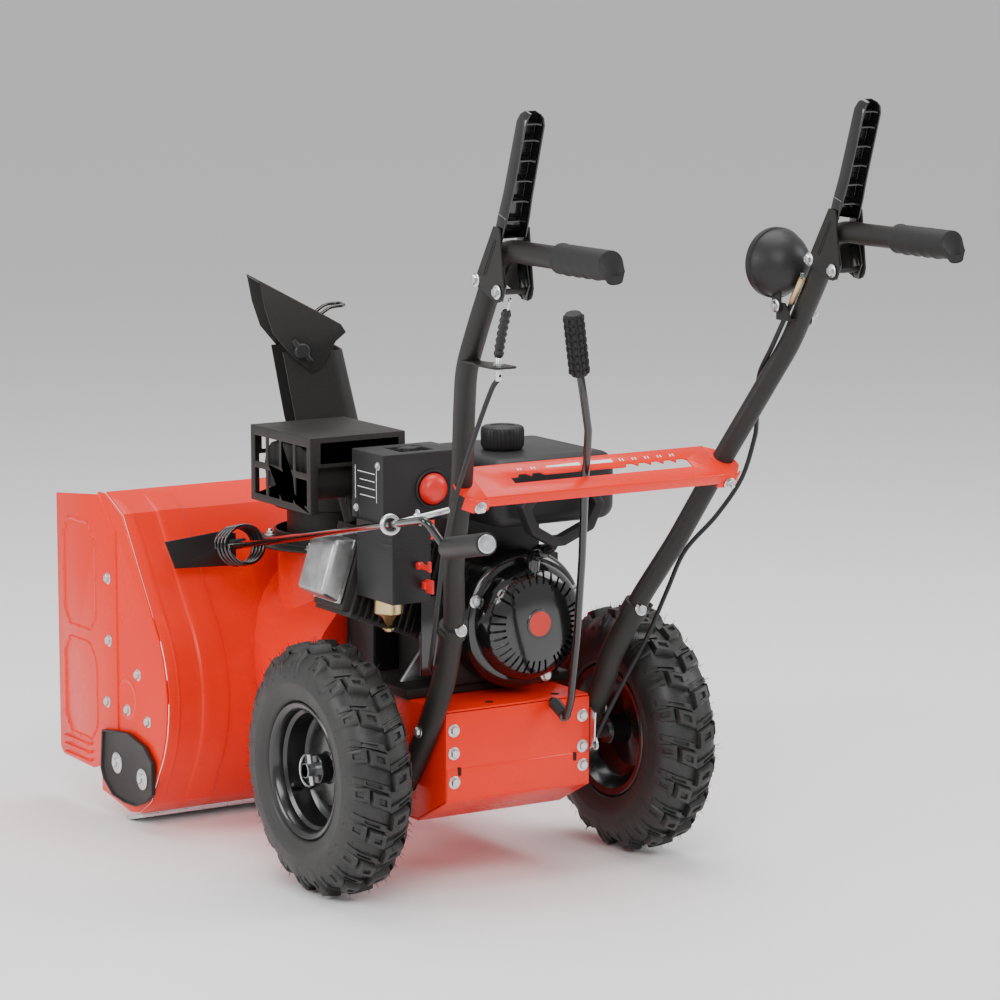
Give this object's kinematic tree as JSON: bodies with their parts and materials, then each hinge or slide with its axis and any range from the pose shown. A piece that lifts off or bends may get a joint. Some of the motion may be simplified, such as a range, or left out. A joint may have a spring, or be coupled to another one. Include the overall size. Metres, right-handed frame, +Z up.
{
  "type": "snow blower",
  "caption": "Walk-behind snow blower: wheeled engine unit with a wide auger intake in front, a turning discharge chute, and two rear handlebars with levers.",
  "frame": {"origin": "on the ground, under the middle of the whole machine's bounding box", "axes": "+Y forward, the way the machine drives and the intake faces; +X to the operator's right; +Z up"},
  "size_m": [0.5964, 1.36, 1.0328],
  "materials": {
    "red_enamel": "smooth orange-red powder coat",
    "black_paint": "fine-textured black powder coat",
    "gloss_black": "glossy black enamel",
    "black_plastic": "moulded, fine grain",
    "red_plastic": "moulded, glossy",
    "rubber": "matt black rubber",
    "tyre": "matt black tyre rubber",
    "zinc_steel": "zinc plated",
    "cast_aluminium": "as cast",
    "engine_casting": "cast, painted black",
    "yellow_zinc": "yellow zinc plated"
  },
  "bodies": {
    "chassis": {"auger_housing": "red_enamel", "side_plate_left": "red_enamel", "side_plate_right": "red_enamel", "scraper_bar": "zinc_steel", "skid_shoe_left": "black_paint", "skid_shoe_right": "black_paint", "impeller_housing": "red_enamel", "transmission_frame": "red_enamel", "rear_cover": "red_enamel", "belt_cover": "black_plastic", "crankcase": "engine_casting", "valve_cover": "cast_aluminium", "blower_housing": "gloss_black", "recoil_cover": "gloss_black", "fuel_tank": "black_plastic", "carburettor": "yellow_zinc", "heater_box": "black_plastic", "muffler": "black_paint", "muffler_guard": "black_paint", "lower_handle_left": "black_paint", "lower_handle_right": "black_paint", "upper_handle_left": "black_paint", "upper_handle_right": "black_paint", "grip_left": "rubber", "grip_right": "rubber", "shift_panel": "red_enamel", "auger_cable": "black_plastic", "drive_cable": "black_plastic", "auger_gearbox": "black_paint", "auger_belt": "rubber", "drive_belt": "rubber", "clean_out_tool": "black_plastic"},
    "running_gear": {"axle": "zinc_steel", "rim_left": "black_paint", "rim_right": "black_paint", "tire_left": "tyre", "tire_right": "tyre"},
    "final_shaft": {"hex_shaft": "zinc_steel"},
    "friction_disc": {"friction_wheel": "rubber"},
    "driving_plate": {"drive_disc": "cast_aluminium"},
    "engine_shaft": {"crankshaft": "zinc_steel"},
    "impeller_rotor": {"impeller": "red_enamel"},
    "auger": {"auger_shaft": "zinc_steel", "auger_left": "red_enamel", "auger_right": "red_enamel"},
    "discharge_chute": {"chute": "black_paint"},
    "deflector": {"chute_deflector": "black_paint"},
    "crank": {"chute_crank": "black_paint"},
    "auger_clutch_lever": {"auger_lever": "gloss_black"},
    "drive_clutch_lever": {"drive_lever": "gloss_black"},
    "gear_lever": {"shift_lever": "black_paint"},
    "pull_grip": {"starter_grip": "black_plastic"},
    "tank_cap": {"fuel_cap": "black_plastic"},
    "primer": {"primer_bulb": "red_plastic"},
    "choke": {"choke_knob": "black_plastic"},
    "throttle": {"throttle_lever": "red_plastic"},
    "safety_key": {"ignition_key": "red_plastic"},
    "work_light": {"headlight": "black_plastic"},
    "auger_tensioner": {"auger_idler": "black_plastic"},
    "drive_tensioner": {"drive_idler": "zinc_steel"}
  },
  "joints": [
    {"name": "axle_turn", "type": "hinge", "parent": "chassis", "child": "running_gear", "pos_m": [0.0034, -0.008, 0.165], "axis": [1, 0, 0], "continuous": true},
    {"name": "final_shaft_turn", "type": "hinge", "parent": "chassis", "child": "final_shaft", "pos_m": [0.0034, 0.072, 0.165], "axis": [1, 0, 0], "continuous": true},
    {"name": "friction_disc_slide", "type": "slide", "parent": "final_shaft", "child": "friction_disc", "axis": [1, 0, 0], "range_m": [-0.033, 0.0514]},
    {"name": "driving_plate_turn", "type": "hinge", "parent": "chassis", "child": "driving_plate", "pos_m": [0.0034, 0.122, 0.165], "axis": [0, 1, 0], "continuous": true},
    {"name": "engine_shaft_turn", "type": "hinge", "parent": "chassis", "child": "engine_shaft", "pos_m": [0.0384, 0.042, 0.34], "axis": [0, 1, 0], "continuous": true},
    {"name": "impeller_turn", "type": "hinge", "parent": "chassis", "child": "impeller_rotor", "pos_m": [0.0034, 0.242, 0.214], "axis": [0, 1, 0], "continuous": true},
    {"name": "auger_turn", "type": "hinge", "parent": "chassis", "child": "auger", "pos_m": [0.0034, 0.474, 0.176], "axis": [1, 0, 0], "continuous": true},
    {"name": "chute_turn", "type": "hinge", "parent": "chassis", "child": "discharge_chute", "pos_m": [-0.0316, 0.322, 0.3967], "axis": [0, 0, 1], "range_deg": [-166, 24]},
    {"name": "deflector_tilt", "type": "hinge", "parent": "discharge_chute", "child": "deflector", "pos_m": [-0.03255, 0.32232, 0.686], "axis": [-0.319, -0.9478, 0], "range_deg": [-20, 35]},
    {"name": "crank_turn", "type": "hinge", "parent": "chassis", "child": "crank", "pos_m": [-0.2676, -0.233, 0.517], "axis": [-0.1567, -0.9676, 0.198], "range_deg": [-1992, 288]},
    {"name": "auger_lever_turn", "type": "hinge", "parent": "chassis", "child": "auger_clutch_lever", "pos_m": [-0.2376, -0.467, 0.8215], "axis": [1, 0, 0], "range_deg": [0, 32], "stiffness_Nm_per_rad": 1.5, "springref_deg": -17.19},
    {"name": "drive_lever_turn", "type": "hinge", "parent": "chassis", "child": "drive_clutch_lever", "pos_m": [0.2444, -0.467, 0.8215], "axis": [1, 0, 0], "range_deg": [0, 32], "stiffness_Nm_per_rad": 1.5, "springref_deg": -17.19},
    {"name": "gear_lever_turn", "type": "hinge", "parent": "chassis", "child": "gear_lever", "pos_m": [0.0534, -0.133, 0.222], "axis": [0, 0.9056, 0.4242], "range_deg": [-13.5, 21]},
    {"name": "starter_pull", "type": "slide", "parent": "chassis", "child": "pull_grip", "axis": [-0.8992, -0.08, 0.4301], "range_m": [0, 0.45], "stiffness_N_per_m": 40, "springref_m": -0.05},
    {"name": "tank_cap_turn", "type": "hinge", "parent": "chassis", "child": "tank_cap", "pos_m": [0.0334, -0.008, 0.56], "axis": [0, 0, 1], "range_deg": [0, 90]},
    {"name": "primer_push", "type": "slide", "parent": "chassis", "child": "primer", "axis": [0, 1, 0], "range_m": [0, 0.006], "stiffness_N_per_m": 600, "springref_m": -0.002},
    {"name": "choke_turn", "type": "hinge", "parent": "chassis", "child": "choke", "pos_m": [-0.1146, -0.017, 0.5615], "axis": [0, 0, 1], "range_deg": [0, 90]},
    {"name": "throttle_turn", "type": "hinge", "parent": "chassis", "child": "throttle", "pos_m": [-0.1446, -0.0955, 0.434], "axis": [1, 0, 0], "range_deg": [-25, 25]},
    {"name": "key_pull", "type": "slide", "parent": "chassis", "child": "safety_key", "axis": [0, -1, 0], "range_m": [0, 0.008]},
    {"name": "work_light_tilt", "type": "hinge", "parent": "chassis", "child": "work_light", "pos_m": [0.2159, -0.362, 0.77], "axis": [1, 0, 0], "range_deg": [-15, 4.5]},
    {"name": "auger_tensioner_turn", "type": "hinge", "parent": "chassis", "child": "auger_tensioner", "pos_m": [0.1034, 0.167, 0.215], "axis": [0, 1, 0], "range_deg": [-10, 0]},
    {"name": "drive_tensioner_turn", "type": "hinge", "parent": "chassis", "child": "drive_tensioner", "pos_m": [-0.0726, 0.145, 0.222], "axis": [0, 1, 0], "range_deg": [0, 7.5]}
  ],
  "couplings": [
    {"joint": "final_shaft_turn", "follows": "axle_turn", "ratio": -4},
    {"joint": "friction_disc_slide", "follows": "gear_lever_turn", "m_per_rad": 0.14},
    {"joint": "auger_turn", "follows": "impeller_turn", "ratio": 0.1},
    {"joint": "crank_turn", "follows": "chute_turn", "ratio": 12},
    {"joint": "auger_tensioner_turn", "follows": "auger_lever_turn", "ratio": -0.3125},
    {"joint": "drive_tensioner_turn", "follows": "drive_lever_turn", "ratio": 0.23438}
  ]
}
